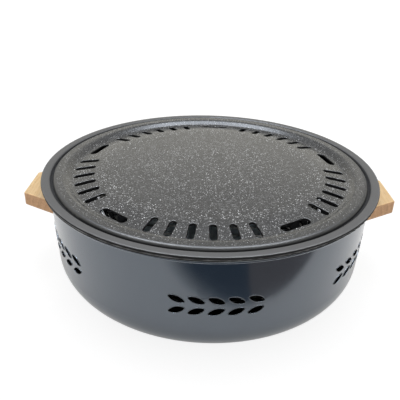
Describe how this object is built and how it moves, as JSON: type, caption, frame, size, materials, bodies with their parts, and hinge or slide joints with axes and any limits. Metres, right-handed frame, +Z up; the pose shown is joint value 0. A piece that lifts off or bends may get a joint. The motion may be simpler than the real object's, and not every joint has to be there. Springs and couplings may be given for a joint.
{
  "type": "portable charcoal grill",
  "caption": "Round tabletop charcoal grill with a slotted non-stick plate on a support ring, a drip tray, a charcoal basin in a vented steel shell and wooden side handles.",
  "frame": {"origin": "on the table under the grill's middle, at the bottom of its feet", "axes": "+Z up, +X towards the right handle, -Y towards the front, where the middle of the front vents is"},
  "size_m": [0.378, 0.3384, 0.1192],
  "materials": {
    "shell_paint": "blue-grey gloss enamel",
    "ring_paint": "dark grey satin enamel",
    "plate_coating": "dark stone-look non-stick coating with pale flecks",
    "plain_steel": "plated sheet steel",
    "basin_steel": "bright stainless steel",
    "grate_steel": "pressed steel sheet",
    "zinc_steel": "zinc-plated fasteners",
    "handle_wood": "light beech, clear varnish",
    "foot_rubber": "black rubber"
  },
  "bodies": {
    "body": {"body_shell": "shell_paint", "heat_shield": "plain_steel", "shield_spacers": "zinc_steel", "shield_nuts": "zinc_steel", "foot_screws": "zinc_steel", "foot_front_left": "foot_rubber", "foot_front_right": "foot_rubber", "foot_back_right": "foot_rubber", "foot_back_left": "foot_rubber", "handle_left": "handle_wood", "handle_right": "handle_wood", "handle_screws_left": "zinc_steel", "handle_screws_right": "zinc_steel", "handle_washers_left": "zinc_steel", "handle_washers_right": "zinc_steel"},
    "tray": {"drip_tray": "ring_paint"},
    "basin": {"charcoal_basin": "basin_steel"},
    "grate": {"charcoal_grate": "grate_steel"},
    "ring": {"support_ring": "ring_paint"},
    "plate": {"grill_plate": "plate_coating"}
  },
  "joints": [
    {"name": "tray_lift", "type": "slide", "parent": "body", "child": "tray", "axis": [0, 0, 1], "range_m": [0, 0.05]},
    {"name": "basin_lift", "type": "slide", "parent": "tray", "child": "basin", "axis": [0, 0, 1], "range_m": [0, 0.09]},
    {"name": "grate_lift", "type": "slide", "parent": "basin", "child": "grate", "axis": [0, 0, 1], "range_m": [0, 0.06]},
    {"name": "ring_lift", "type": "slide", "parent": "grate", "child": "ring", "axis": [0, 0, 1], "range_m": [0, 0.04]},
    {"name": "plate_lift", "type": "slide", "parent": "ring", "child": "plate", "axis": [0, 0, 1], "range_m": [0, 0.06]}
  ]
}
